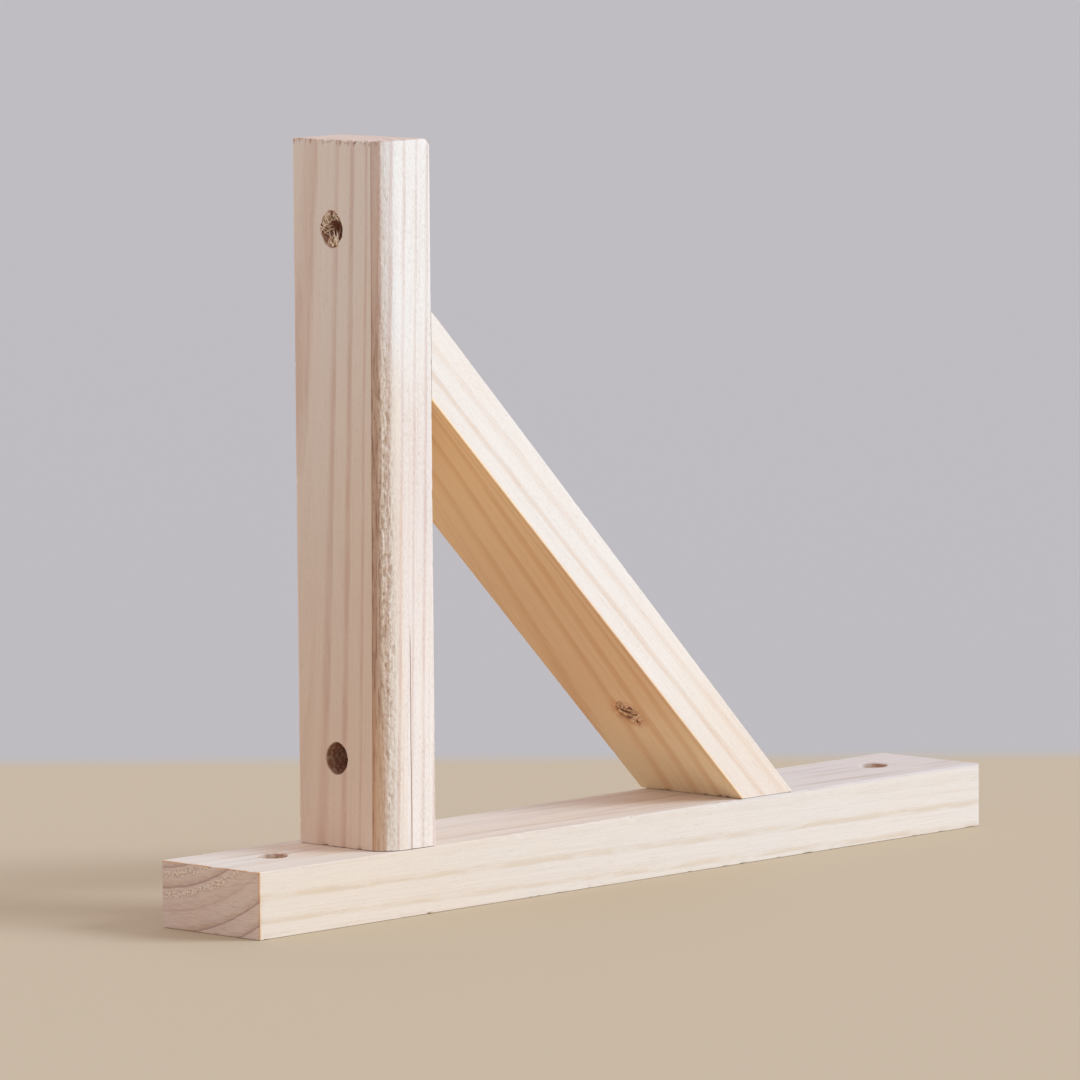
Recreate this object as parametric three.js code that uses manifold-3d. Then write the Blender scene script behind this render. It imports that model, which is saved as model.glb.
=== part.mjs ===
// A wooden lamp bracket of three planed softwood battens, in millimetres with +Z up.
// The wall plate lies flat along X, the arm stands on it near one end, and the brace
// props the arm at about 45 degrees. All three are flush along the front face.
// The origin is the middle of the bracket's footprint, on the plate's underside.

import * as THREE from 'three';
import { mergeVertices } from 'three/addons/utils/BufferGeometryUtils.js';
import Module from 'manifold-3d';

const wasm = await Module();
wasm.setup();

// The wall plate.
const PLATE_LENGTH = 315;
const PLATE_DEPTH = 40;
const PLATE_THICKNESS = 19.7;
const PLATE_HOLE_FROM_END = 26;

// The arm, a narrower and slightly thicker batten than the plate.
const ARM_FROM_PLATE_END = 52;
const ARM_THICKNESS = 20.5;
const ARM_DEPTH = 35.5;
const ARM_TIP_HEIGHT = 226;
const ARM_HOLE_FROM_END = 26;

// The arm's outer front edge is rounded by hand, more at its foot than at its tip.
const ROUND_AT_TIP = { across: 6.5, deep: 3.9 };
const ROUND_AT_FOOT = { across: 9, deep: 5.9 };
const ROUND_STEPS = 10;

// The brace, given by where its two long faces meet the arm and the plate. It tapers a little.
const BRACE_DEPTH = 41.8;
const BRACE_TOP_HEIGHT = 176;
const BRACE_UNDERSIDE_HEIGHT = 149.8;
const BRACE_TOE_FROM_PLATE_END = 227.9;
const BRACE_HEEL_FROM_PLATE_END = 205.1;
const BRACE_HOLE_FROM_HEEL = 38;

// Every hole is drilled with one bit, on one line behind the flush front face. Only the holes in
// the shallower arm lie a little nearer to that face.
const HOLE_DIAMETER = 9;
const HOLE_FROM_FRONT = 21;
const ARM_HOLE_FROM_FRONT = 20;
const HOLE_SIDES = 24;

// The long edges are eased with a stroke of sandpaper, and glued faces keep a hair's gap.
const EDGE_EASE = 0.5;
const JOINT_GAP = 0.3;

const ARM_LEFT = ARM_FROM_PLATE_END;
const ARM_RIGHT = ARM_LEFT + ARM_THICKNESS;
const ARM_FOOT_HEIGHT = PLATE_THICKNESS + JOINT_GAP;

// The end outline of a batten as [u, v] pairs, counter-clockwise, with all four corners eased.
// The corner at [0, 0] can take a quarter of an ellipse instead, given as { across, deep }.
function battenOutline(width, depth, round = null) {
  const ease = EDGE_EASE;
  const outline = [
    [width - ease, 0],
    [width, ease],
    [width, depth - ease],
    [width - ease, depth],
    [ease, depth],
    [0, depth - ease],
  ];
  if (round === null) {
    outline.push([0, ease], [ease, 0]);
    return outline;
  }
  for (let step = 0; step <= ROUND_STEPS; step += 1) {
    const angle = (step / ROUND_STEPS) * (Math.PI / 2);
    outline.push([round.across * (1 - Math.cos(angle)), round.deep * (1 - Math.sin(angle))]);
  }
  return outline;
}

// A closed batten between two end outlines with as many points each. The start ring runs
// counter-clockwise when it is seen from the end ring, and both rings are convex.
function battenBetween(startRing, endRing) {
  const count = startRing.length;
  const corners = [...startRing, ...endRing];
  const indices = [];
  for (let i = 0; i < count; i += 1) {
    const next = (i + 1) % count;
    indices.push(i, next, count + next);
    indices.push(i, count + next, count + i);
  }
  for (let i = 1; i + 1 < count; i += 1) {
    indices.push(0, i + 1, i);
    indices.push(count, count + i, count + i + 1);
  }
  const geometry = new THREE.BufferGeometry();
  geometry.setFromPoints(corners);
  geometry.setIndex(indices);
  return geometry;
}

// Hands a closed geometry to the solid library, with its shared corners merged.
function toSolid(geometry) {
  const bare = geometry.clone();
  bare.deleteAttribute('normal');
  bare.deleteAttribute('uv');
  const merged = mergeVertices(bare);
  return new wasm.Manifold(
    new wasm.Mesh({
      numProp: 3,
      vertProperties: new Float32Array(merged.attributes.position.array),
      triVerts: new Uint32Array(merged.index.array),
    }),
  );
}

function toGeometry(solid) {
  const mesh = solid.getMesh();
  const geometry = new THREE.BufferGeometry();
  geometry.setAttribute('position', new THREE.BufferAttribute(mesh.vertProperties, 3));
  geometry.setIndex(new THREE.BufferAttribute(mesh.triVerts, 1));
  geometry.computeVertexNormals();
  return geometry;
}

// A drill's path through the point `through`, along `direction`, as a long many-sided rod.
function drillRod(through, direction) {
  const reach = 4 * PLATE_THICKNESS;
  const rod = new THREE.CylinderGeometry(HOLE_DIAMETER / 2, HOLE_DIAMETER / 2, reach, HOLE_SIDES);
  const turn = new THREE.Quaternion();
  turn.setFromUnitVectors(new THREE.Vector3(0, 1, 0), direction.clone().normalize());
  rod.applyQuaternion(turn);
  rod.translate(through.x, through.y, through.z);
  return toSolid(rod);
}

function drilled(geometry, holes) {
  let solid = toSolid(geometry);
  for (const hole of holes) {
    solid = solid.subtract(drillRod(hole.through, hole.direction));
  }
  return toGeometry(solid);
}

function wood(colour, roughness) {
  return new THREE.MeshStandardMaterial({ color: colour, roughness, metalness: 0, flatShading: true });
}

function named(name, geometry, material) {
  const mesh = new THREE.Mesh(geometry, material);
  mesh.name = name;
  return mesh;
}

function makeWallPlate() {
  const outline = battenOutline(PLATE_DEPTH, PLATE_THICKNESS);
  const ringAt = (x) => outline.map(([u, v]) => new THREE.Vector3(x, u, v));
  const batten = battenBetween(ringAt(0), ringAt(PLATE_LENGTH));
  const up = new THREE.Vector3(0, 0, 1);
  const holes = [PLATE_HOLE_FROM_END, PLATE_LENGTH - PLATE_HOLE_FROM_END].map((x) => ({
    through: new THREE.Vector3(x, HOLE_FROM_FRONT, PLATE_THICKNESS / 2),
    direction: up,
  }));
  return named('wall_plate', drilled(batten, holes), wood(0xe6d9c8, 0.72));
}

function makeArm() {
  const ringAt = (z, round) =>
    battenOutline(ARM_THICKNESS, ARM_DEPTH, round).map(
      ([u, v]) => new THREE.Vector3(ARM_LEFT + u, v, z),
    );
  const batten = battenBetween(
    ringAt(ARM_FOOT_HEIGHT, ROUND_AT_FOOT),
    ringAt(ARM_TIP_HEIGHT, ROUND_AT_TIP),
  );
  const across = new THREE.Vector3(1, 0, 0);
  const heights = [PLATE_THICKNESS + ARM_HOLE_FROM_END, ARM_TIP_HEIGHT - ARM_HOLE_FROM_END];
  const holes = heights.map((z) => ({
    through: new THREE.Vector3(ARM_LEFT + ARM_THICKNESS / 2, ARM_HOLE_FROM_FRONT, z),
    direction: across,
  }));
  return named('arm', drilled(batten, holes), wood(0xe9dac6, 0.75));
}

// The brace's upper end lies against the arm, and its foot against the plate's top face.
function makeBrace() {
  const faceX = ARM_RIGHT + JOINT_GAP;
  const footZ = PLATE_THICKNESS + JOINT_GAP;
  const endHeight = BRACE_TOP_HEIGHT - BRACE_UNDERSIDE_HEIGHT;
  const footWidth = BRACE_TOE_FROM_PLATE_END - BRACE_HEEL_FROM_PLATE_END;
  const topRing = battenOutline(endHeight, BRACE_DEPTH).map(
    ([u, v]) => new THREE.Vector3(faceX, v, BRACE_UNDERSIDE_HEIGHT + u),
  );
  const footRing = battenOutline(footWidth, BRACE_DEPTH).map(
    ([u, v]) => new THREE.Vector3(BRACE_HEEL_FROM_PLATE_END + u, v, footZ),
  );
  const batten = battenBetween(footRing, topRing);

  const heel = new THREE.Vector3(BRACE_HEEL_FROM_PLATE_END, HOLE_FROM_FRONT, footZ);
  const armpit = new THREE.Vector3(faceX, HOLE_FROM_FRONT, BRACE_UNDERSIDE_HEIGHT);
  const uphill = armpit.clone().sub(heel).normalize();
  const squareToUnderside = new THREE.Vector3(uphill.z, 0, -uphill.x);
  const hole = {
    through: heel.clone().addScaledVector(uphill, BRACE_HOLE_FROM_HEEL),
    direction: squareToUnderside,
  };
  return named('brace', drilled(batten, [hole]), wood(0xe8cfae, 0.72));
}

const bracket = new THREE.Group();
bracket.name = 'lamp_bracket';
bracket.add(makeWallPlate(), makeArm(), makeBrace());
bracket.position.set(-PLATE_LENGTH / 2, -BRACE_DEPTH / 2, 0);

export default bracket;
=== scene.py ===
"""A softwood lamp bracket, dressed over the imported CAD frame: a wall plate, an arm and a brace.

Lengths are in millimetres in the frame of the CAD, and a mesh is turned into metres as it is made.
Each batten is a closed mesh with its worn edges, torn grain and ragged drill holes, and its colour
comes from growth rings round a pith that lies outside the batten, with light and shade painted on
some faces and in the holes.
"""

import math

import bmesh
import bpy
import numpy as np
from mathutils import Matrix, Vector, noise


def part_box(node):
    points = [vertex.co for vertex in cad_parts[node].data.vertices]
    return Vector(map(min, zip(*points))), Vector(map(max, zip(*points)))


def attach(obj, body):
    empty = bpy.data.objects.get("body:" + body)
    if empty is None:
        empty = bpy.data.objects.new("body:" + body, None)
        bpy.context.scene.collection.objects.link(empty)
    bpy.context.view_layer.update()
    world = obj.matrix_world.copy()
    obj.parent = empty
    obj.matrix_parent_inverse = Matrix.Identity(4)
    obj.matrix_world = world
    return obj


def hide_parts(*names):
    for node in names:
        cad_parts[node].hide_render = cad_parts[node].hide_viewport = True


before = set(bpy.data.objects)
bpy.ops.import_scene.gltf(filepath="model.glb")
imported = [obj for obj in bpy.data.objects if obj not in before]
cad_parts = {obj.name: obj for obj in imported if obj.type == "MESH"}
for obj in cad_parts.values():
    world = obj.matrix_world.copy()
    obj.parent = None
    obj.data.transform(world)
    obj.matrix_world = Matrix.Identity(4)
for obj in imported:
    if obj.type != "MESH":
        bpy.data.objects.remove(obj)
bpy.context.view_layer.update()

MM = 0.001
X, Y, Z = np.eye(3)


def cad_box(node):
    """The lowest and highest corners of a CAD node."""
    low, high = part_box(node)
    return np.array(low) / MM, np.array(high) / MM


PLATE_LOW, PLATE_HIGH = cad_box("wall_plate")
ARM_LOW, ARM_HIGH = cad_box("arm")
BRACE_LOW, BRACE_HIGH = cad_box("brace")
PLATE_SIZE = PLATE_HIGH - PLATE_LOW
ARM_SIZE = ARM_HIGH - ARM_LOW

# How much closer the battens' ends come to their neighbours than the ends of the solids do: the
# arm's foot leaves a fine gap, and the brace's two ends nearly touch.
JOINT_GAP = ARM_LOW[2] - PLATE_HIGH[2]
ARM_CLOSER = 0.7 * JOINT_GAP
BRACE_CLOSER = 0.93 * JOINT_GAP

# The drilled holes. Those of the arm lie a little nearer to the front face.
HOLE_RADIUS = 4.5
HOLE_FROM_FRONT = 21
ARM_HOLE_FROM_FRONT = 20
PLATE_HOLE_FROM_END = 26
ARM_HOLE_FROM_END = 26
BRACE_HOLE_FROM_HEEL = 38
HOLE_Y = PLATE_LOW[1] + HOLE_FROM_FRONT
ARM_HOLE_Y = PLATE_LOW[1] + ARM_HOLE_FROM_FRONT
PLATE_HOLES_X = (PLATE_LOW[0] + PLATE_HOLE_FROM_END, PLATE_HIGH[0] - PLATE_HOLE_FROM_END)
ARM_HOLES_Z = (PLATE_HIGH[2] + ARM_HOLE_FROM_END, ARM_HIGH[2] - ARM_HOLE_FROM_END)
PLATE_MIDDLE_Z = (PLATE_LOW[2] + PLATE_HIGH[2]) / 2
ARM_MIDDLE_X = (ARM_LOW[0] + ARM_HIGH[0]) / 2

# The arm's rounded edge, as how far it reaches across the front face and into the outer face.
ROUND_AT_FOOT = (9.0, 5.9)
ROUND_AT_TIP = (6.5, 3.9)

# The brace's underside, where it meets the plate and the arm.
BRACE_HEEL_FROM_PLATE_END = 205.1
BRACE_HEEL_X = PLATE_LOW[0] + BRACE_HEEL_FROM_PLATE_END
BRACE_ARMPIT_Z = 149.8
BRACE_THICKNESS_AT_HOLE = 16.6

# Planed edges are eased a little, and the grid of each mesh is finer beside them.
EDGE_EASE = 0.25
SAWN_EDGE_EASE = 0.12
FINE_AT_EDGE = (0.12, EDGE_EASE, 0.55, 1.1)


# Noise and smooth steps

# How far apart in the noise two seeds lie that differ by one.
SEED_SPACING = 17.31


def wander(points, size, seed):
    """Smooth noise from about -1 to 1 at each point, with features of the given size in each axis."""
    places = points / np.asarray(size, float) + seed * SEED_SPACING
    return np.array([noise.noise(Vector(place)) for place in places])


def smooth_step(value, start, end):
    t = np.clip((value - start) / (end - start), 0, 1)
    return t * t * (3 - 2 * t)


# Meshes


def spaced(length, step, fine_start=(), fine_end=()):
    """Grid lines from 0 to length, about a step apart, with finer ones added near either end."""
    start = max(fine_start, default=0)
    end = length - max(fine_end, default=0)
    count = max(1, round((end - start) / step))
    lines = [0, *fine_start, *np.linspace(start, end, count + 1), *(length - np.array(fine_end)), length]
    return np.unique(np.round(lines, 4))


def spaced_between_edges(length, step):
    """Grid lines from one edge of a batten to the other, finer beside both."""
    return spaced(length, step, FINE_AT_EDGE, FINE_AT_EDGE)


def box_surface(lines):
    """The closed surface of a box cut along three sets of grid lines: its points and its quads."""
    counts = [len(line) for line in lines]
    grid = np.indices(counts)
    outside = np.zeros(counts, bool)
    for axis in range(3):
        outside |= (grid[axis] == 0) | (grid[axis] == counts[axis] - 1)
    index = np.full(counts, -1)
    index[outside] = np.arange(outside.sum())
    points = np.stack([lines[axis][grid[axis][outside]] for axis in range(3)], axis=1)
    quads = []
    for axis in range(3):
        for side in (0, -1):
            sheet = np.take(index, side, axis=axis)
            loop = (sheet[:-1, :-1], sheet[1:, :-1], sheet[1:, 1:], sheet[:-1, 1:])
            quad = np.stack(loop, axis=-1).reshape(-1, 4)
            faces_inward = (side == 0) != (axis == 1)
            quads.append(quad[:, ::-1] if faces_inward else quad)
    return points, np.concatenate(quads).tolist()


def ease_edges(points, size, ease):
    """Rounds the twelve edges of a box that spans 0 to size, by `ease` along each axis."""
    core = np.clip(points, ease, np.asarray(size) - ease)
    away = points - core
    longest = np.abs(away).max(axis=1)
    length = np.linalg.norm(away, axis=1)
    shrink = np.divide(longest, length, out=np.ones_like(length), where=length > 0)
    return core + away * shrink[:, None]


def make_mesh(name, points, faces):
    """A mesh object in metres from points in millimetres."""
    mesh = bpy.data.meshes.new(name)
    mesh.from_pydata((points * MM).tolist(), [], faces)
    mesh.update()
    piece = bpy.data.objects.new(name, mesh)
    bpy.context.scene.collection.objects.link(piece)
    return piece


def read_vectors(values, field):
    """One vector of a mesh's points or normals to a row."""
    flat = np.empty(len(values) * 3)
    values.foreach_get(field, flat)
    return flat.reshape(-1, 3)


def press_in(piece, depth):
    """Moves each point of a mesh inward by its depth."""
    mesh = piece.data
    points = read_vectors(mesh.vertices, "co") / MM
    normals = read_vectors(mesh.vertex_normals, "vector")
    moved = points - normals * depth[:, None]
    mesh.vertices.foreach_set("co", (moved * MM).ravel())
    mesh.update()


def closed_tube(rings):
    """The points and faces of a closed tube through rings of points, with flat caps."""
    sides = len(rings[0])
    faces = []
    for row in range(len(rings) - 1):
        for side in range(sides):
            ahead = (side + 1) % sides
            low, high = row * sides, (row + 1) * sides
            faces.append([low + side, low + ahead, high + ahead, high + side])
    last = (len(rings) - 1) * sides
    faces.append(list(range(sides))[::-1])
    faces.append([last + side for side in range(sides)])
    return np.concatenate(rings), faces


def torn_bore(centre, along, grain, length, tear, seed):
    """A drill's path, as a cutter, whose mouths are torn along the grain by about `tear`."""
    sides = 48
    fine_at_mouth = (0.3, 0.7, 1.2, 2.0)
    beyond = 3.0
    tear_fades_over = 1.3
    across = np.cross(along, grain)
    turn = np.linspace(0, 2 * math.pi, sides, endpoint=False)
    spokes = np.cos(turn)[:, None] * grain + np.sin(turn)[:, None] * across
    split = np.abs(np.cos(turn)) ** 6
    rings = []
    for station in (-beyond, *spaced(length, 1.5, fine_at_mouth, fine_at_mouth), length + beyond):
        below = max(0.0, min(station, length - station))
        places = np.stack([3 * np.cos(turn), 3 * np.sin(turn), np.full_like(turn, 0.15 * station)], axis=1)
        ragged = wander(places, 1.0, seed)
        reach = tear * math.exp(-below / tear_fades_over) * (1.2 * split + 0.45 * np.maximum(ragged, 0))
        radius = HOLE_RADIUS + 0.12 * ragged + reach
        rings.append(centre + along * (station - length / 2) + radius[:, None] * spokes)
    return make_mesh("drill_path", *closed_tube(rings))


def cut(piece, cutters):
    """Cuts closed shapes out of a piece and removes them."""
    for cutter in cutters:
        drill = piece.modifiers.new("drill", "BOOLEAN")
        drill.operation = "DIFFERENCE"
        drill.solver = "EXACT"
        drill.object = cutter
    graph = bpy.context.evaluated_depsgraph_get()
    whole = piece.data
    piece.data = bpy.data.meshes.new_from_object(piece.evaluated_get(graph))
    piece.data.name = piece.name
    piece.modifiers.clear()
    bpy.data.meshes.remove(whole)
    for cutter in cutters:
        bpy.data.meshes.remove(cutter.data)


def splinter(start, bend, end, wide, thick, flat):
    """A tapered sliver of wood along a curve, wide across `flat` and thin the other way."""
    sides = 6
    steps = 7
    blunt_tip = 0.12
    turn = np.linspace(0, 2 * math.pi, sides, endpoint=False)
    rings = []
    for step in range(steps + 1):
        t = step / steps
        middle = (1 - t) ** 2 * start + 2 * t * (1 - t) * bend + t * t * end
        heading = (1 - t) * (bend - start) + t * (end - bend)
        heading = heading / np.linalg.norm(heading)
        side = np.cross(heading, flat)
        side = side / np.linalg.norm(side)
        rise = np.cross(side, heading)
        taper = (1 - t) ** 0.7 + blunt_tip
        rings.append(middle + taper * (
            0.5 * wide * np.cos(turn)[:, None] * side + 0.5 * thick * np.sin(turn)[:, None] * rise))
    return closed_tube(rings)


def add_splinters(piece, parts):
    """Joins loose slivers to a piece and marks their points as fresh wood."""
    sheet = bmesh.new()
    sheet.from_mesh(piece.data)
    count = len(piece.data.vertices)
    for points, faces in parts:
        corners = [sheet.verts.new(point * MM) for point in points]
        for face in faces:
            sheet.faces.new([corners[corner] for corner in face])
    sheet.to_mesh(piece.data)
    sheet.free()
    fresh = piece.data.attributes.new("fresh", "FLOAT", "POINT")
    marks = np.zeros(len(piece.data.vertices))
    marks[count:] = 1.0
    fresh.data.foreach_set("value", marks)


def torn_fibres(mouth, outward, grain, bundles, seed):
    """Slivers round the mouth of a drilled hole.

    Each bundle gives how many slivers it has, the first and last angle on the rim that they start
    between, in degrees from the grain, how long and wide they are, and how much they curl outward.
    """
    thick = 0.25
    draw = np.random.default_rng(seed)
    across = np.cross(outward, grain)
    parts = []
    for bundle in bundles:
        for _ in range(bundle["count"]):
            angle = math.radians(draw.uniform(bundle["first"], bundle["last"]))
            spoke = math.cos(angle) * grain + math.sin(angle) * across
            lean = draw.uniform(-0.7, 0.7)
            inward = -spoke * math.cos(lean) + np.cross(outward, spoke) * math.sin(lean)
            sunk = draw.uniform(0.3, 1.6)
            reach = bundle["length"] * draw.uniform(0.6, 1.2)
            start = mouth + spoke * (HOLE_RADIUS + 0.5) - outward * sunk
            bend = start + inward * reach * 0.55 + outward * draw.uniform(0.2, 1.0) * bundle["curl"]
            end = start + inward * reach - outward * draw.uniform(-0.5, 1.6)
            wide = bundle["wide"] * draw.uniform(0.5, 1.2)
            parts.append(splinter(start, bend, end, wide, thick, outward))
    return parts


def shade_smooth(piece, crease):
    mesh = piece.data
    mesh.shade_smooth()
    mesh.set_sharp_from_angle(angle=math.radians(crease))


# The three battens


def planed_depth(points, size, seed):
    """The slight hollows that a planer and handling leave."""
    return 0.03 + 0.03 * wander(points, size, seed) + 0.01 * wander(points, np.array(size) / 6, seed + 0.5)


def edge_wear(points, size, seed):
    """Small chips along the edges of a box that spans 0 to size."""
    to_face = np.sort(np.minimum(points, np.asarray(size) - points), axis=1)
    near_edge = 1 - smooth_step(to_face[:, 1], 0.3, 1.5)
    chips = smooth_step(wander(points, (2.6, 2.6, 2.6), seed), 0.25, 0.6)
    return near_edge * (0.04 + 0.22 * chips)


def nicks(points, places, size, deep):
    """Small dents round the given places."""
    depth = np.zeros(len(points))
    for place in places:
        away = np.linalg.norm(points - np.asarray(place, float), axis=1)
        depth += deep * (1 - smooth_step(away, 0.2 * size, size))
    return depth


def make_wall_plate():
    length, depth, thickness = PLATE_SIZE
    points, quads = box_surface([
        spaced_between_edges(length, 1.1),
        spaced_between_edges(depth, 1.0),
        spaced_between_edges(thickness, 1.0)])
    points = ease_edges(points, PLATE_SIZE, (EDGE_EASE, EDGE_EASE, EDGE_EASE))
    piece = make_mesh("wall_plate_wood", points + PLATE_LOW, quads)
    press_in(
        piece,
        planed_depth(points, (40, 12, 12), seed=1)
        + edge_wear(points, PLATE_SIZE, seed=11)
        + nicks(points, [(156.5, 0, thickness)], size=1.1, deep=0.5))
    cut(piece, [
        torn_bore(np.array([hole_x, HOLE_Y, PLATE_MIDDLE_Z]), Z, X, thickness, tear=0.5, seed=seed)
        for seed, hole_x in enumerate(PLATE_HOLES_X)
    ])
    bundles = [
        dict(count=9, first=105, last=165, length=3.0, wide=0.8, curl=0.3),
        dict(count=9, first=195, last=265, length=2.2, wide=0.6, curl=0.5),
    ]
    loose = []
    for seed, hole_x in enumerate(PLATE_HOLES_X):
        mouth = np.array([hole_x, HOLE_Y, PLATE_HIGH[2]])
        loose += torn_fibres(mouth, Z, X, bundles, seed=20 + seed)
    # One splinter sticks out at the foot of the front face.
    root = PLATE_LOW + [69.0, 0.3, 0.5]
    bend, end = root + [0.8, -0.9, 0.4], root + [1.9, -0.9, -0.2]
    loose.append(splinter(root, bend, end, wide=0.9, thick=0.5, flat=Z))
    add_splinters(piece, loose)
    return piece


def arm_round(height):
    """How far the arm's rounded edge reaches at each height."""
    share = np.clip((height - ARM_LOW[2]) / ARM_SIZE[2], 0, 1)
    foot, tip = np.array(ROUND_AT_FOOT), np.array(ROUND_AT_TIP)
    return foot + (tip - foot) * share[:, None]


def round_edge(flat, size, reach, widest, flatness):
    """Rounds the corner at 0, 0 of a rectangle of points that spans 0 to size.

    `reach` is how far the round goes at each point, and the grid has room for `widest`. Flatness
    moves the round towards a straight cut, which leaves an arris at either side. Returns the
    points, and each one's angle in degrees from the face at 0 of the first axis, or -1 off the round.
    """
    stretched = reach + (flat - widest) * (size - reach) / (size - widest)
    fitted = np.where(flat < widest, flat * reach / widest, stretched)
    toward = 1 - fitted / reach
    on_round = (flat < widest).all(axis=1)
    longest = toward.max(axis=1, keepdims=True)
    length = np.linalg.norm(toward, axis=1, keepdims=True)
    shrink = np.divide(longest, length, out=np.ones_like(length), where=length > 0)
    angle = np.arctan2(toward[:, 1], toward[:, 0])
    share = np.stack([1 - angle / (math.pi / 2), angle / (math.pi / 2)], axis=1)
    arc = reach * (1 - toward * shrink)
    chord = reach * (1 - longest * share)
    rounded = arc * (1 - flatness) + chord * flatness
    return np.where(on_round[:, None], rounded, fitted), np.where(on_round, np.degrees(angle), -1)


def torn_edge_depth(height, angle, reach):
    """The torn grain of the arm's rounded edge: long fissures, crumbs and pits."""
    # The round is about this share of its two reaches long, from one face to the other.
    round_share = 0.78
    around = np.maximum(angle, 0) / 90 * reach.sum(axis=1) * round_share
    flat = np.stack([around, np.zeros_like(around), height], axis=1)
    on_edge = smooth_step(angle, 0, 6) * (1 - smooth_step(angle, 45, 75))
    below_tip = smooth_step(ARM_HIGH[2] - height, 38, 75)
    near_foot = smooth_step(PLATE_HIGH[2] + 60 - height, 0, 50)
    rough = (0.2 + 0.8 * below_tip) * (1 - 0.45 * near_foot)
    crumbled = 0.25 + 0.75 * smooth_step(angle, 26, 40)
    fissures = 0.12 * (1 + wander(flat, (0.6, 1, 7), 3))
    crumbs = 0.19 * (1 + wander(flat, (0.9, 1, 1.2), 4))
    pits = 0.42 * smooth_step(wander(flat, (1.1, 1, 2.0), 5), 0.25, 0.5)
    return (fissures + (crumbs + pits) * crumbled) * on_edge * rough


def sawn_teeth(points, size):
    """The splintered edge that the saw left where the arm's tip meets its outer face."""
    from_edge = np.hypot(points[:, 0], size[2] - points[:, 2])
    teeth = smooth_step(wander(points, (9, 1.0, 9), 6), 0.0, 0.4)
    return 0.7 * teeth * (1 - smooth_step(from_edge, 0.4, 1.6))


def make_arm():
    base = ARM_LOW - [0, 0, ARM_CLOSER]
    size = ARM_HIGH - base
    widest = np.array(ROUND_AT_FOOT)
    torn_step = 0.36
    plain_steps = (1.2, 0.9)
    across, deep = (
        np.concatenate([
            np.arange(0, wide, torn_step),
            wide + spaced(whole - wide, step, (), FINE_AT_EDGE)])
        for wide, whole, step in zip(widest, size, plain_steps)
    )
    grid, quads = box_surface([across, deep, spaced(size[2], 0.5, (0.2,), (0.2, 0.4))])
    reach = arm_round(grid[:, 2] + base[2])
    flat, angle = round_edge(grid[:, :2], size[:2], reach, widest, flatness=0.2)
    points = ease_edges(np.column_stack([flat, grid[:, 2]]), size, (EDGE_EASE, EDGE_EASE, SAWN_EDGE_EASE))
    piece = make_mesh("arm_wood", points + base, quads)
    off_round = np.where(angle < 0, 1, 0)
    press_in(
        piece,
        planed_depth(points, (12, 12, 40), seed=2)
        + edge_wear(points, size, seed=12) * off_round * 0.5
        + sawn_teeth(points, size) * off_round
        + nicks(points, [(0, 11, 0), (0, 25, 0)], size=0.9, deep=0.5)
        + nicks(points, [(size[0], 0, size[2])], size=2.2, deep=0.5)
        + torn_edge_depth(points[:, 2] + base[2], angle, reach))
    tears = (0.3, 1.0)
    bore_seeds = (5.3, 8.1)
    cut(piece, [
        torn_bore(np.array([ARM_MIDDLE_X, ARM_HOLE_Y, hole_z]), X, Z, size[0], tear, seed)
        for hole_z, tear, seed in zip(ARM_HOLES_Z, tears, bore_seeds)
    ])
    mouth = np.array([ARM_LOW[0], ARM_HOLE_Y, ARM_HOLES_Z[1]])
    bundles = [
        dict(count=30, first=0, last=85, length=3.4, wide=0.42, curl=1.9),
        dict(count=9, first=-60, last=0, length=2.4, wide=0.42, curl=1.0),
        dict(count=20, first=155, last=210, length=4.4, wide=0.55, curl=0.6),
        dict(count=5, first=60, last=110, length=5.5, wide=0.5, curl=0.3),
        dict(count=3, first=40, last=75, length=-1.8, wide=0.5, curl=1.0),
    ]
    add_splinters(piece, torn_fibres(mouth, -X, Z, bundles, seed=4))
    return piece


def brace_axes():
    """The brace's underside: its heel, its armpit, the way uphill, and the way into the wood."""
    heel = np.array([BRACE_HEEL_X, BRACE_LOW[1], BRACE_LOW[2]])
    armpit = np.array([BRACE_LOW[0], BRACE_LOW[1], BRACE_ARMPIT_Z])
    uphill = (armpit - heel) / np.linalg.norm(armpit - heel)
    inward = np.array([uphill[2], 0, -uphill[0]])
    return heel, armpit, uphill, inward


def brace_hole():
    """The middle of the brace's drilled hole, and the middle of its lower mouth."""
    heel, _, uphill, inward = brace_axes()
    middle = heel + uphill * BRACE_HOLE_FROM_HEEL + inward * BRACE_THICKNESS_AT_HOLE / 2
    middle[1] = HOLE_Y
    return middle, middle - inward * BRACE_THICKNESS_AT_HOLE / 2


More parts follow.
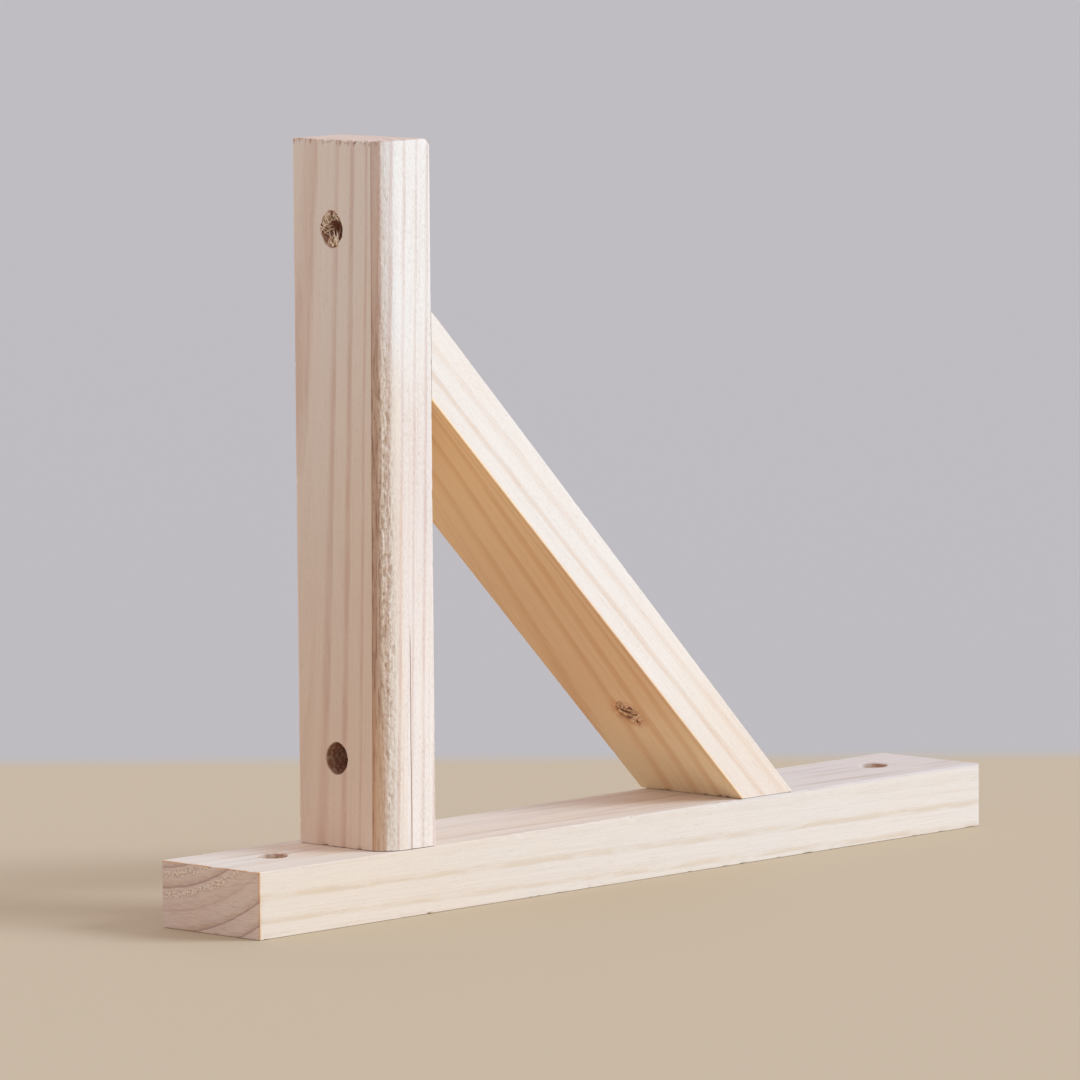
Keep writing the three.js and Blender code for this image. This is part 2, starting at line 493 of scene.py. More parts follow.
def make_brace():
    heel, armpit, uphill, inward = brace_axes()
    toe = np.array([BRACE_HIGH[0], BRACE_LOW[1], BRACE_LOW[2]])
    top = np.array([BRACE_LOW[0], BRACE_LOW[1], BRACE_HIGH[2]])
    lower = uphill * BRACE_CLOSER / uphill[2]
    higher = -uphill * BRACE_CLOSER / uphill[0]
    heel, toe = heel - lower, toe - lower
    armpit, top = armpit + higher, top + higher
    size = np.array([
        BRACE_THICKNESS_AT_HOLE, BRACE_HIGH[1] - BRACE_LOW[1], np.linalg.norm(armpit - heel)])
    points, quads = box_surface([
        spaced_between_edges(size[0], 1.0),
        spaced_between_edges(size[1], 1.0),
        spaced_between_edges(size[2], 0.8)])
    points = ease_edges(points, size, (EDGE_EASE, EDGE_EASE, SAWN_EDGE_EASE))
    across = points[:, :1] / size[0]
    up = points[:, 2:] / size[2]
    foot = heel + (toe - heel) * across
    head = armpit + (top - armpit) * across
    placed = foot + (head - foot) * up
    placed[:, 1] += points[:, 1]
    piece = make_mesh("brace_wood", placed, quads)
    press_in(
        piece,
        planed_depth(points, (12, 12, 40), seed=3)
        + edge_wear(points, size, seed=13) * 0.5
        + nicks(points, [(0, 6, 0), (0, 9, 0), (0, 15, 0), (0, 31, 0)], size=0.9, deep=0.4))
    middle, mouth = brace_hole()
    cut(piece, [torn_bore(middle, inward, uphill, BRACE_THICKNESS_AT_HOLE, tear=1.2, seed=9.7)])
    bundles = [
        dict(count=10, first=-60, last=60, length=4.0, wide=1.8, curl=0.1),
        dict(count=10, first=130, last=230, length=4.0, wide=1.8, curl=0.1),
        dict(count=7, first=60, last=120, length=8.0, wide=1.7, curl=0.0),
        dict(count=6, first=-120, last=-60, length=6.0, wide=1.7, curl=0.0),
    ]
    add_splinters(piece, torn_fibres(mouth, -inward, uphill, bundles, seed=6))
    return piece


# Shader arithmetic


class Signal:
    """A number that varies over a surface: the output of a shader node, open to arithmetic."""

    def __init__(self, sheet, socket):
        self.sheet = sheet
        self.socket = socket

    def __add__(self, other):
        return self.sheet.math("ADD", self, other)

    def __radd__(self, other):
        return self.sheet.math("ADD", other, self)

    def __sub__(self, other):
        return self.sheet.math("SUBTRACT", self, other)

    def __rsub__(self, other):
        return self.sheet.math("SUBTRACT", other, self)

    def __mul__(self, other):
        return self.sheet.math("MULTIPLY", self, other)

    def __truediv__(self, other):
        return self.sheet.math("DIVIDE", self, other)

    def __abs__(self):
        return self.sheet.math("ABSOLUTE", self)

    def step(self, start, end):
        """Rises smoothly from 0 at start to 1 at end. The end may be the lower of the two."""
        inputs = {"Value": self, "From Min": start, "From Max": end}
        node = self.sheet.node("ShaderNodeMapRange", inputs, interpolation_type="SMOOTHSTEP")
        return self.sheet.signal(node.outputs[0])


class Sheet:
    """Adds nodes to a material's sheet and joins them up."""

    def __init__(self, name):
        self.material = bpy.data.materials.new(name)
        self.material.use_nodes = True
        self.tree = self.material.node_tree
        self.shader = self.tree.nodes["Principled BSDF"]

    def node(self, kind, inputs=(), **settings):
        node = self.tree.nodes.new(kind)
        for key, value in settings.items():
            setattr(node, key, value)
        for place, value in dict(inputs).items():
            self.feed(node.inputs[place], value)
        return node

    def feed(self, socket, value):
        if isinstance(value, Signal):
            self.tree.links.new(value.socket, socket)
        else:
            socket.default_value = value

    def signal(self, socket):
        return Signal(self, socket)

    def math(self, operation, *values):
        node = self.node("ShaderNodeMath", enumerate(values), operation=operation)
        return self.signal(node.outputs[0])

    def vector_math(self, operation, *values, output="Vector"):
        node = self.node("ShaderNodeVectorMath", enumerate(values), operation=operation)
        return self.signal(node.outputs[output])

    def scaled(self, vector, factor):
        node = self.node("ShaderNodeVectorMath", {"Vector": vector, "Scale": factor}, operation="SCALE")
        return self.signal(node.outputs["Vector"])

    def place(self):
        """The place on the surface, in millimetres."""
        coordinates = self.node("ShaderNodeTexCoord")
        return self.scaled(self.signal(coordinates.outputs["Object"]), 1 / MM)

    def dot(self, vector, direction):
        """How far a vector goes along a fixed direction."""
        direction = [float(part) for part in direction]
        return self.vector_math("DOT_PRODUCT", vector, direction, output="Value")

    def along(self, place, origin, direction):
        """How far the place lies from the origin along a direction."""
        return self.dot(place, direction) - float(np.dot(origin, direction))

    def offset(self, place, centre):
        """The vector from a fixed centre to the place."""
        return self.vector_math("SUBTRACT", place, tuple(centre))

    def span(self, vector):
        """How long a vector is."""
        return self.vector_math("LENGTH", vector, output="Value")

    def facing(self, direction):
        """How squarely the surface faces along a direction, either way."""
        normal = self.signal(self.node("ShaderNodeTexCoord").outputs["Normal"])
        return abs(self.dot(normal, direction))

    def fresh(self):
        """1 on the torn slivers and 0 on the rest of the wood, from a mark in the mesh."""
        return self.signal(self.node("ShaderNodeAttribute", attribute_name="fresh").outputs["Fac"])

    def hypotenuse(self, x, y):
        return self.math("SQRT", x * x + y * y)

    def vector(self, x, y, z):
        node = self.node("ShaderNodeCombineXYZ", {0: x, 1: y, 2: z})
        return self.signal(node.outputs[0])

    def wander(self, place, detail=2.0, roughness=0.5):
        """Noise of 0 to 1 with a mean of a half, and features about as large as the unit of place."""
        inputs = {"Vector": place, "Scale": 1.0, "Detail": detail, "Roughness": roughness}
        node = self.node("ShaderNodeTexNoise", inputs, noise_dimensions="3D")
        return self.signal(node.outputs[0])

    def random(self, value):
        node = self.node("ShaderNodeTexWhiteNoise", {"W": value}, noise_dimensions="1D")
        return self.signal(node.outputs["Value"])

    def blend(self, kind, share, first, second):
        inputs = {0: share, 6: first, 7: second}
        node = self.node("ShaderNodeMix", inputs, data_type="RGBA", blend_type=kind)
        return self.signal(node.outputs[2])

    def mix(self, share, first, second):
        """The first colour, passing into the second by a share."""
        return self.blend("MIX", share, first, second)

    def tint(self, share, colour, by):
        """A colour multiplied by another, to a share."""
        return self.blend("MULTIPLY", share, colour, by)


class Grain:
    """The place on a batten: along its two cross directions a and b, and along its grain."""

    def __init__(self, sheet, place, corner, side_a, side_b, lengthways):
        self.sheet = sheet
        self.a = sheet.along(place, corner, side_a)
        self.b = sheet.along(place, corner, side_b)
        self.along = sheet.along(place, corner, lengthways)

    def wander(self, across, lengthways, detail, roughness=0.5):
        """Noise with about so many features to a millimetre, across the grain and along it."""
        stretched = self.sheet.vector(self.a * across, self.b * across, self.along * lengthways)
        return self.sheet.wander(stretched, detail, roughness)


def rgb(red, green, blue):
    return (red, green, blue, 1.0)


# Softwood

# The colours that the parts of the grain multiply the wood by.
DULL_STREAK = rgb(0.90, 0.82, 0.76)
DARK_FIBRE = rgb(0.86, 0.81, 0.77)
RESIN_DASH = rgb(0.66, 0.53, 0.46)
YEAR_LINE = rgb(0.74, 0.62, 0.56)
END_ARC = rgb(0.72, 0.64, 0.66)
SAW_SCRATCH = rgb(0.80, 0.75, 0.74)
TORN_SHADOW = rgb(0.74, 0.64, 0.58)

# The colour of the pale fibre that the saw tore up.
TORN_FIBRE = rgb(0.97, 0.88, 0.66)

# The surface: how rough planed wood is, how much smoother its late wood and how much rougher a
# sawn end is, how much light all of it mirrors, and how deep and how strong its relief is.
ROUGHNESS = 0.72
LATE_SMOOTHER = 0.14
END_ROUGHER = 0.1
SHINE = 0.35
RELIEF = 0.12 * MM
RELIEF_STRENGTH = 0.6


def ring_age(sheet, grain, rings):
    """How far the wood lies from the pith, with wobbles in it, and its age in years."""
    pith_a, pith_b = rings["pith"]
    drift_in_front, drift_behind = rings["drift"]
    drift = grain.a.step(0.0, 5.0) * (drift_behind - drift_in_front) + drift_in_front
    radius = sheet.hypotenuse(grain.a - pith_a, grain.b - pith_b)
    slow = grain.wander(0.03, 0.008, detail=1.5)
    shiver = grain.wander(0.25, 0.03, detail=3.0)
    radius = radius + grain.along * drift + (slow - 0.5) * rings["wobble"] + (shiver - 0.5) * 0.5
    age = (radius - rings["first"]) / rings["spacing"]
    return radius, age - age.step(-2.6, -1.4) * rings["wider"]


def late_wood(sheet, grain, rings, year, season):
    """The late wood of each year, the dark line at its end, and how strong the year is.

    Late wood comes on softly, in some years sooner, has gaps in it, and fades as the year ends.
    """
    luck = sheet.random(year)
    earliest, spread = rings["onset"]
    onset = luck * spread + earliest
    patchy = grain.wander(0.6, 0.03, detail=2.0)
    line = season.step(0.82, 0.93) * (1.0 - season.step(0.96, 1.0)) * patchy.step(0.45, 0.66)
    faint_year, fainter = rings["faint"]
    faint = abs(year - faint_year).step(0.7, 0.3) * fainter
    vigour = (luck * -rings["uneven"] + 1.0) * (1.0 - faint)
    gaps = grain.wander(0.3, 0.05, detail=2.0).step(0.58, 0.4)
    late = season.step(onset, onset + 0.25) * (1.0 - season.step(0.84, 1.0)) * vigour
    return late * (1.0 - gaps * rings["gaps"]), line, vigour


def make_wood(name, axes, rings, tones, marks):
    """Softwood whose growth rings lie round a pith outside the batten.

    The axes are a corner of the batten, its two cross directions and the way along it. Each of
    the marks takes and returns the colour and the height of the surface. The rings give:

    pith, first, spacing: where the pith lies in the cross directions, the radius from which the
        years are counted, and how wide a year is
    drift: how the radius grows along the batten, on the first cross direction's near face and
        5 mm behind it
    wobble: how far the rings wander
    onset: when in its year the late wood begins at the earliest, and how much later it may
    line: how strong the broken dark line at a year's end is on the sides
    faint: one year that is fainter than the others, and by how much
    uneven: how much the years differ in strength
    gaps: how much of the late wood is missing where it has gaps
    wider: by how much of a year one inner year is wider
    arcs: how strong the arcs on the sawn ends are
    """
    sheet = Sheet(name)
    place = sheet.place()
    lengthways = axes[-1]
    grain = Grain(sheet, place, *axes)
    a, b, along = grain.a, grain.b, grain.along
    radius, age = ring_age(sheet, grain, rings)
    year = sheet.math("FLOOR", age)
    season = age - year
    late, line, vigour = late_wood(sheet, grain, rings, year, season)

    # Dull streaks, fine fibres, short dark resin dashes, and slow changes of tone.
    weather = sheet.wander(sheet.vector(radius * 1.3, along * 0.004, 3.0), detail=4.0, roughness=0.65)
    fibres = grain.wander(2.4, 0.07, detail=4.0, roughness=0.65)
    dashes = sheet.wander(sheet.vector(a * 2.8 + 7.0, b * 2.8, along * 0.16), detail=1.0)
    tone = grain.wander(0.06, 0.012, detail=3.0)

    # Sawn ends show thin brown arcs, the saw's scratches, and rows of torn pale fibre. The sides
    # show the dark end of each year as a fine line instead.
    end = sheet.facing(lengthways).step(0.55, 0.85)
    scratches = sheet.wander(sheet.vector(a * 0.16, b * 4.5, 1.0), detail=3.0)
    arcs = season.step(0.84, 0.94) * (1.0 - season.step(0.96, 1.0)) + season.step(0.4, 0.94) * 0.2
    arcs = arcs * vigour * rings["arcs"]
    rows = season.step(0.05, 0.2) * (1.0 - season.step(0.35, 0.55)) * age.step(-1.6, -2.6)
    specks = sheet.wander(sheet.vector(a * 1.4, b * 1.8, 9.0), detail=1.0)

    colour = sheet.mix(tone.step(0.3, 0.7), tones["early"], tones["warm"])
    for share, by in (
        (late, tones["late"]),
        (weather.step(0.5, 0.72) * 0.4, DULL_STREAK),
        (fibres.step(0.62, 0.3) * 0.3, DARK_FIBRE),
        (dashes.step(0.68, 0.78) * 0.4, RESIN_DASH),
        (line * (1.0 - end) * rings["line"], YEAR_LINE),
        (end, tones["end"]),
        (end * arcs, END_ARC),
        (end * scratches.step(0.58, 0.36) * 0.7, SAW_SCRATCH),
        (end * specks.step(0.48, 0.36) * rows, TORN_SHADOW),
    ):
        colour = sheet.tint(share, colour, by)
    colour = sheet.mix(end * specks.step(0.54, 0.64) * rows * 0.7, colour, TORN_FIBRE)

    height = fibres * 0.5 + late * 0.3 + end * (scratches + specks * rows)
    for mark in marks:
        colour, height = mark(sheet, place, colour, height)

    bump = sheet.node(
        "ShaderNodeBump", {"Height": height, "Strength": RELIEF_STRENGTH, "Distance": RELIEF})
    sheet.feed(sheet.shader.inputs["Normal"], sheet.signal(bump.outputs[0]))
    sheet.feed(sheet.shader.inputs["Base Color"], colour)
    sheet.feed(sheet.shader.inputs["Roughness"], ROUGHNESS - late * LATE_SMOOTHER + end * END_ROUGHER)
    sheet.shader.inputs["Specular IOR Level"].default_value = SHINE
    return sheet.material


# Marks on the wood, and painted light and shade


def fresh_fibres(dull, pale):
    """Torn slivers, in patches of two tones."""

    def mark(sheet, place, colour, height):
        patches = sheet.wander(sheet.scaled(place, 1.1), detail=2.0).step(0.38, 0.62)
        return sheet.mix(sheet.fresh(), colour, sheet.mix(patches, dull, pale)), height

    return mark


def painted_hole_shade(centre, through, thickness, shade):
    """Paints shade on the wood inside a drilled hole, where the surface lies below both faces."""

    def mark(sheet, place, colour, height):
        aside = sheet.vector_math("CROSS_PRODUCT", sheet.offset(place, centre), tuple(through))
        near = sheet.span(aside).step(2 * HOLE_RADIUS, 2 * HOLE_RADIUS - 1)
        depth = abs(sheet.along(place, centre, through))
        inside = (thickness / 2 - depth).step(0.1, 0.8)
        flecks = sheet.wander(sheet.scaled(place, 0.8), detail=3.0).step(0.4, 0.6)
        share = near * inside * (1.0 - sheet.fresh() * 0.75) * (flecks * 0.35 + 0.65)
        return sheet.tint(share, colour, shade), height

    return mark


def painted_face_light(corner, inward, depth, by):
    """Paints light on one face of a batten and the wood just behind it, as a tint."""

    def mark(sheet, place, colour, height):
        behind = sheet.along(place, corner, inward)
        return sheet.tint(behind.step(depth, depth * 0.2), colour, by), height

    return mark


def painted_lighting_gradient(corner, inward, origin, direction, reach, first, last):
    """Paints light and shade on a face: two tints passing into each other over `reach` along a direction.
    """

    def mark(sheet, place, colour, height):
        on_face = sheet.along(place, corner, inward).step(1.0, 0.2)
        share = sheet.along(place, origin, direction).step(0.0, float(reach))
        return sheet.tint(on_face, colour, sheet.mix(share, first, last)), height

    return mark


def raised_grain(corner, inward, lengthways, strength):
    """Short rough dashes that the planer raised on one face."""
    shaded = rgb(0.84, 0.78, 0.75)

    def mark(sheet, place, colour, height):
        behind = sheet.along(place, corner, inward)
        across = sheet.along(place, corner, np.cross(lengthways, inward))
        along = sheet.along(place, corner, lengthways)
        on_face = behind.step(6.0, 0.5)
        nap = sheet.wander(sheet.vector(across * 2.8, along * 0.7, behind * 2.8), detail=3.0, roughness=0.6)
        patches = sheet.wander(sheet.vector(across * 0.35, along * 0.03, 2.0)).step(0.35, 0.65)
        share = on_face * nap.step(0.6, 0.32) * (patches * 0.6 + 0.4) * strength
        return sheet.tint(share, colour, shaded), height + on_face * nap * (2.2 * strength)

    return mark


def streaks(corner, inward, lengthways, strength, by):
    """Long dull streaks along one face."""

    def mark(sheet, place, colour, height):
        across = sheet.along(place, corner, np.cross(lengthways, inward))
        along = sheet.along(place, corner, lengthways)
        on_face = sheet.along(place, corner, inward).step(1.0, 0.2)
        runs = sheet.wander(sheet.vector(across * 0.4, along * 0.014, 4.0), detail=3.0, roughness=0.5)
        return sheet.tint(on_face * runs.step(0.5, 0.64) * strength, colour, by), height

    return mark


def edge_glow(corner, side, other_side, width, by):
    """Tints a narrow rim along one edge, where light seeps through the wood."""

    def mark(sheet, place, colour, height):
        away = sheet.hypotenuse(sheet.along(place, corner, side), sheet.along(place, corner, other_side))
        return sheet.tint(away.step(width, width * 0.4), colour, by), height

    return mark


def painted_lighting_patch(centre, near, far, by):
    """Painted light and shade: a patchy tint round a point, full up to one distance and gone at another."""

    def mark(sheet, place, colour, height):
        patches = sheet.wander(sheet.scaled(place, 0.5), detail=2.0).step(0.35, 0.6)
        share = sheet.span(sheet.offset(place, centre)).step(far, near)
        return sheet.tint(share * (patches * 0.7 + 0.3), colour, by), height

    return mark


def front_crack(sheet, place, colour, height):
    """A hairline crack up the arm's front face from its foot."""
    crack_x = 10.5
    dark = rgb(0.50, 0.37, 0.30)
    up = sheet.along(place, ARM_LOW, Z)
    bend = sheet.wander(sheet.vector(1.0, 2.0, up * 0.05), detail=2.0)
    away = abs(sheet.along(place, ARM_LOW, X) - crack_x - (bend - 0.5) * 0.8)
    behind = sheet.along(place, ARM_LOW, Y)
    share = away.step(0.24, 0.1) * up.step(68.0, 58.0) * behind.step(2.0, 0.5)
    return sheet.tint(share, colour, dark), height - share * 2.0


def splintered_rim(sheet, place, colour, height):
    """Brown nicks along the sawn edge between the arm's tip and its outer face."""
    brown = rgb(0.60, 0.45, 0.38)
    outward = sheet.along(place, ARM_LOW, X)
    behind = sheet.along(place, ARM_LOW, Y)
    down = sheet.along(place, ARM_HIGH, -Z)
    teeth = sheet.wander(sheet.vector(behind * 0.9, 5.0, down * 0.15), detail=2.0)
    share = sheet.hypotenuse(outward, down).step(2.2, 0.5) * teeth.step(0.52, 0.62)
    return sheet.tint(share, colour, brown), height


def torn_edge(sheet, place, colour, height):
    """The arm's rounded edge: brown fibres on its shaded side and pale crumbs on the other."""
    grain = Grain(sheet, place, ARM_LOW, X, Y, Z)
    up = grain.along
    toward_tip = up / float(ARM_SIZE[2])
    toward_a, toward_b = (
        1.0 - side / (toward_tip * (at_tip - at_foot) + at_foot)
        for side, at_tip, at_foot in zip((grain.a, grain.b), ROUND_AT_TIP, ROUND_AT_FOOT)
    )
    on_round = toward_a.step(0.0, 0.02) * toward_b.step(0.0, 0.03)
    angle = sheet.math("ARCTAN2", toward_b, toward_a) * (180 / math.pi)

    # The wood is torn most from about 55 to 130 mm above the arm's foot.
    middle = up.step(172.0, 130.0) * (0.5 + up.step(20.0, 55.0) * 0.5)
    near_foot = up.step(60.0, 25.0)
    near_tip = up.step(130.0, 160.0)
    below_tip = up.step(160.0, 130.0)
    crumbs = grain.wander(2.0, 0.9, detail=3.0, roughness=0.7)
    strands = grain.wander(1.8, 0.12, detail=3.0, roughness=0.6)

    # The brown side ends raggedly, at about 38 degrees round the edge from the outer face.
    brown_ends = 38.0 - middle * 7.0 + (crumbs - 0.5) * 16.0
    brown = on_round * (1.0 - angle.step(brown_ends - 2.0, brown_ends + 3.0))
    lit = on_round * angle.step(36.0, 50.0)
    arris = on_round * (1.0 - angle.step(2.0, 6.0))
    pale = on_round * middle * angle.step(brown_ends, brown_ends + 4.0) * (1.0 - angle.step(50.0, 70.0))
    for share, by in (
        (brown * (0.5 + middle * 0.35), rgb(0.72, 0.61, 0.55)),
        (brown * near_foot, rgb(1.05, 0.97, 0.87)),
        (brown * near_tip, rgb(0.95, 0.89, 0.88)),
        (lit * near_tip, rgb(1.0, 1.02, 1.05)),
        (on_round * below_tip, rgb(1.03, 1.0, 0.95)),
        (brown * middle * strands.step(0.52, 0.36), rgb(0.66, 0.55, 0.50)),
        (arris * (toward_tip * 0.4 + 0.4), rgb(0.66, 0.54, 0.48)),
        (pale * crumbs.step(0.54, 0.42), rgb(0.80, 0.71, 0.65)),
    ):
        colour = sheet.tint(share, colour, by)
    rough = on_round * (0.3 + middle * 0.7) * (1.0 - angle.step(50.0, 75.0))
    return colour, height + rough * (crumbs * 2.2 + strands * 1.2)


# The wood of each batten

PINE = dict(
    early=rgb(0.83, 0.73, 0.62),
    warm=rgb(0.84, 0.72, 0.59),
    end=rgb(0.97, 0.88, 0.86))
NO_TINT = rgb(1.0, 1.0, 1.0)


def make_plate_wood():
    rings = dict(
        pith=(44.3, 79.5), first=86.03, spacing=5.92, drift=(-0.0125, -0.0125), wobble=0.6,
        onset=(0.55, 0.2), line=0.1, faint=(-3, 0.75), uneven=0.45, gaps=0.7, wider=0.25, arcs=1.0)
    tones = dict(PINE, late=rgb(0.91, 0.85, 0.76), end=rgb(0.99, 0.92, 0.91))
    faint_hole_shade = rgb(0.98, 0.90, 0.84)
    amber_rim = rgb(1.0, 0.80, 0.62)
    # The colour of the painted shadow in the holes' mouths.
    brown = rgb(0.72, 0.56, 0.46)
    length, _, thickness = PLATE_SIZE
    near_corner = np.array([PLATE_LOW[0], PLATE_LOW[1], PLATE_HIGH[2]])
    top_middle = near_corner + [length / 2, 0, 0]
    beside_mouth = (4.0, 2.0, -2.0)
    beside_arm = (ARM_LOW[0] - 8.0, ARM_HOLE_Y + 4.0, PLATE_HIGH[2])
    marks = [
        # Painted light: the front face grows whiter and bluer towards its right end.
        painted_lighting_gradient(PLATE_LOW, Y, PLATE_LOW, X, length, rgb(1.0, 0.99, 0.98), rgb(1.01, 1.05, 1.12)),
        # Painted shade: the top grows darker and bluer towards its right end.
        painted_lighting_gradient(near_corner, -Z, top_middle, X, 100.0, rgb(1.0, 1.0, 1.02), rgb(0.88, 0.88, 0.94)),
        streaks(near_corner, -Z, X, strength=0.6, by=rgb(0.84, 0.79, 0.77)),
        raised_grain(PLATE_LOW, Y, X, strength=0.2),
        # Faint painted shade on the walls of the two holes.
        *[painted_hole_shade((hole_x, HOLE_Y, PLATE_MIDDLE_Z), Z, thickness, faint_hole_shade)
          for hole_x in PLATE_HOLES_X],
        # Painted shadow on the right side of each hole's mouth, whose wall there faces away from the light.
        *[painted_lighting_patch(np.array([hole_x, HOLE_Y, PLATE_HIGH[2]]) + beside_mouth, near=3.0, far=5.0, by=brown)
          for hole_x in PLATE_HOLES_X],
        # Painted warm bounce light in the arm's shadow on the top, left of the arm's foot.
        painted_lighting_patch(beside_arm, near=8.0, far=21.0, by=rgb(1.03, 0.93, 0.85)),
        edge_glow(near_corner, X, Y, width=0.8, by=amber_rim),
        edge_glow(near_corner, X, Z, width=0.7, by=amber_rim),
        fresh_fibres(rgb(0.80, 0.62, 0.45), rgb(0.95, 0.90, 0.80)),
    ]
    return make_wood("planed_pine_plate", (PLATE_LOW, Y, Z, X), rings, tones, marks)


def make_arm_wood():
    rings = dict(
        pith=(-28.6, 34.9), first=30.52, spacing=3.71, drift=(-0.018, -0.018), wobble=0.4,
        onset=(0.5, 0.15), line=0.25, faint=(-1, 0.15), uneven=0.15, gaps=0.35, wider=0.0, arcs=0.4)
    tones = dict(PINE, late=rgb(0.86, 0.75, 0.72))
    # The painted shade in the hole near the foot, and the lighter painted shade in the hole near the tip.
    foot_hole_shade = rgb(0.42, 0.22, 0.13)
    tip_hole_shade = rgb(0.55, 0.29, 0.18)
    thickness, _, height = ARM_SIZE
    middle = (ARM_LOW + ARM_HIGH) / 2
    tip_corner = np.array([ARM_LOW[0], ARM_LOW[1], ARM_HIGH[2]])
    back_edge = np.array([ARM_LOW[0], ARM_HIGH[1], ARM_LOW[2]])
    marks = [
        # Painted light: the front face and the wood just behind it are whiter and bluer.
        painted_face_light(ARM_LOW, Y, depth=4.5, by=rgb(1.09, 1.17, 1.28)),
        # Painted bounce light: the shaded outer face is darker and warmer towards the foot, lighter and
        # bluer towards the tip.
        painted_lighting_gradient(ARM_LOW, X, ARM_LOW, Z, height, rgb(0.955, 0.86, 0.80), rgb(1.03, 1.05, 1.10)),
        # Painted light: the front face is darker and warmer at its middle, lighter and bluer above and
        # below it.
        painted_lighting_gradient(ARM_LOW, Y, middle, Z, 60.0, rgb(1.0, 0.94, 0.92), rgb(1.04, 1.06, 1.08)),
        painted_lighting_gradient(ARM_LOW, Y, middle, -Z, 60.0, NO_TINT, rgb(1.04, 1.06, 1.06)),
        splintered_rim,
        raised_grain(ARM_LOW, Y, Z, strength=0.8),
        raised_grain(ARM_LOW, X, Z, strength=0.3),
        front_crack,
        torn_edge,
        edge_glow(back_edge, X, -Y, width=0.7, by=rgb(1.12, 1.02, 0.98)),
        # Painted shade on the walls of the two holes.
        *[painted_hole_shade((ARM_MIDDLE_X, ARM_HOLE_Y, hole_z), X, thickness, shade)
          for hole_z, shade in zip(ARM_HOLES_Z, (foot_hole_shade, tip_hole_shade))],
        fresh_fibres(rgb(0.66, 0.44, 0.27), rgb(0.95, 0.82, 0.66)),
    ]
    return make_wood("planed_pine_arm", (tip_corner, X, Y, Z), rings, tones, marks)


def make_brace_wood():
    rings = dict(
        pith=(53.8, -58.5), first=80.21, spacing=5.21, drift=(0.0055, -0.0471), wobble=0.5,
        onset=(0.45, 0.25), line=0.2, faint=(1, 0.6), uneven=0.3, gaps=0.25, wider=0.0, arcs=0.6)
    tones = dict(
        PINE, early=rgb(0.84, 0.72, 0.59), warm=rgb(0.85, 0.71, 0.56), late=rgb(0.91, 0.81, 0.72))
    heel, armpit, uphill, inward = brace_axes()
    middle, mouth = brace_hole()
    marks = [
        # Painted light: the front face is whiter, and bluer uphill.
        painted_lighting_gradient(heel, Y, heel, uphill, 60.0, rgb(1.08, 1.09, 1.14), rgb(1.11, 1.19, 1.32)),
        # Painted warm bounce light: the underside is lighter near the heel and more orange uphill.
        painted_lighting_gradient(heel, inward, heel, uphill, 60.0, rgb(1.18, 1.10, 0.88), rgb(1.06, 0.84, 0.61)),
        # Painted light: the shaded underside is lighter near the armpit.
        painted_lighting_gradient(heel, inward, armpit, -uphill, 100.0, rgb(1.14, 1.20, 1.17), NO_TINT),
        raised_grain(heel, Y, uphill, strength=0.4),
        # Painted shade on the walls of the hole.
        painted_hole_shade(middle, inward, BRACE_THICKNESS_AT_HOLE, rgb(0.85, 0.66, 0.52)),
        # Painted shade round the hole's lower mouth.
        painted_lighting_patch(mouth, near=5.0, far=8.0, by=rgb(0.88, 0.76, 0.70)),
        fresh_fibres(rgb(0.60, 0.34, 0.20), rgb(0.90, 0.62, 0.38)),
    ]
    return make_wood("planed_pine_brace", (heel, Y, inward, uphill), rings, tones, marks)


# Camera, light and floor

CAMERA_AZIMUTH = math.radians(-46.489)
CAMERA_ELEVATION = math.radians(6.017)
CAMERA_ROLL = math.radians(-0.461)
CAMERA_AIM = Vector((-18.84, -0.85, 102.54)) * MM
CAMERA_DISTANCE = 2675.6 * MM
CAMERA_SENSOR = 36
CAMERA_LENS = 300
CAMERA_SEES_TO = 30


def way_back(azimuth, elevation):
    """The direction from the object to an eye at this azimuth and elevation."""
    return Vector((
        math.sin(azimuth) * math.cos(elevation),
        -math.cos(azimuth) * math.cos(elevation),
        math.sin(elevation)))


def make_camera():
    data = bpy.data.cameras.new("camera")
    data.lens = CAMERA_LENS
    data.sensor_width = CAMERA_SENSOR
    data.clip_end = CAMERA_SEES_TO
    camera = bpy.data.objects.new("camera", data)
    back = way_back(CAMERA_AZIMUTH, CAMERA_ELEVATION)
    right = Vector((math.cos(CAMERA_AZIMUTH), math.sin(CAMERA_AZIMUTH), 0))
    up = back.cross(right)
    cosine, sine = math.cos(CAMERA_ROLL), math.sin(CAMERA_ROLL)
    turned = Matrix((cosine * right + sine * up, cosine * up - sine * right, back)).transposed()
    camera.matrix_world = Matrix.Translation(CAMERA_AIM + back * CAMERA_DISTANCE) @ turned.to_4x4()
    bpy.context.scene.collection.objects.link(camera)
    bpy.context.scene.camera = camera


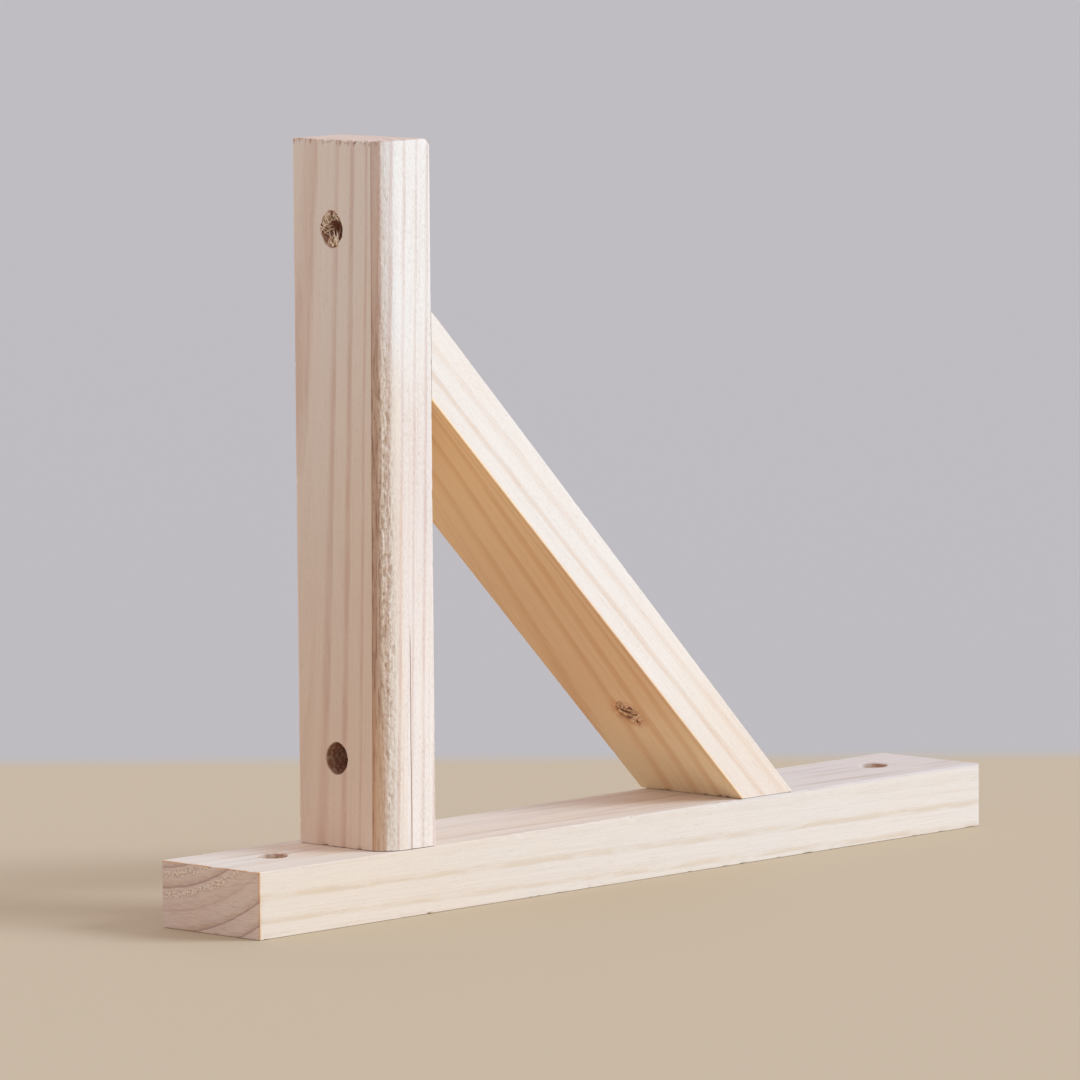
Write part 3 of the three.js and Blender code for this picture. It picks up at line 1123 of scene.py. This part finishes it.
def make_sun(name, azimuth, elevation, spread, strength, colour):
    """A soft light from far away. The spread is the angle that it fills, in degrees."""
    data = bpy.data.lights.new(name, "SUN")
    data.angle = math.radians(spread)
    data.energy = strength * math.pi
    data.color = colour
    light = bpy.data.objects.new(name, data)
    back = way_back(math.radians(azimuth), math.radians(elevation))
    light.rotation_mode = "QUATERNION"
    light.rotation_quaternion = back.to_track_quat("Z", "Y")
    light.location = back
    bpy.context.scene.collection.objects.link(light)


def make_lighting():
    world = bpy.data.worlds.new("studio")
    world.use_nodes = True
    background = world.node_tree.nodes["Background"]
    background.inputs["Color"].default_value = rgb(0.70, 0.665, 0.71)
    background.inputs["Strength"].default_value = 1.0
    bpy.context.scene.world = world
    make_sun("window", azimuth=42, elevation=28, spread=28, strength=0.82, colour=(0.67, 0.84, 1.0))
    bpy.context.scene.view_settings.view_transform = "Standard"


def make_floor():
    """A plain pale floor, sand-coloured under the bracket and greyer well behind it."""
    reach = 12000.0
    grey_up_to, sand_from = -290.0, -250.0
    sand = rgb(0.60, 0.48, 0.33)
    grey = rgb(0.53, 0.50, 0.475)
    corners = np.array([[-reach, -reach, 0], [reach, -reach, 0], [reach, reach, 0], [-reach, reach, 0]])
    floor = make_mesh("floor", corners, [[0, 1, 2, 3]])
    sheet = Sheet("floor_paper")
    back = np.array([math.sin(CAMERA_AZIMUTH), -math.cos(CAMERA_AZIMUTH), 0])
    toward_camera = sheet.along(sheet.place(), np.zeros(3), back)
    near = toward_camera.step(grey_up_to, sand_from)
    sheet.feed(sheet.shader.inputs["Base Color"], sheet.mix(near, grey, sand))
    sheet.shader.inputs["Roughness"].default_value = 0.8
    sheet.shader.inputs["Specular IOR Level"].default_value = 0.2
    floor.data.materials.append(sheet.material)


make_camera()
make_lighting()
make_floor()
for make_piece, make_material, node, slot in (
    (make_wall_plate, make_plate_wood, "wall_plate", "pine_plate"),
    (make_arm, make_arm_wood, "arm", "pine_arm"),
    (make_brace, make_brace_wood, "brace", "pine_brace"),
):
    piece = make_piece()
    piece.data.materials.append(make_material())
    shade_smooth(piece, crease=45)
    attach(piece, "root")
    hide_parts(node)
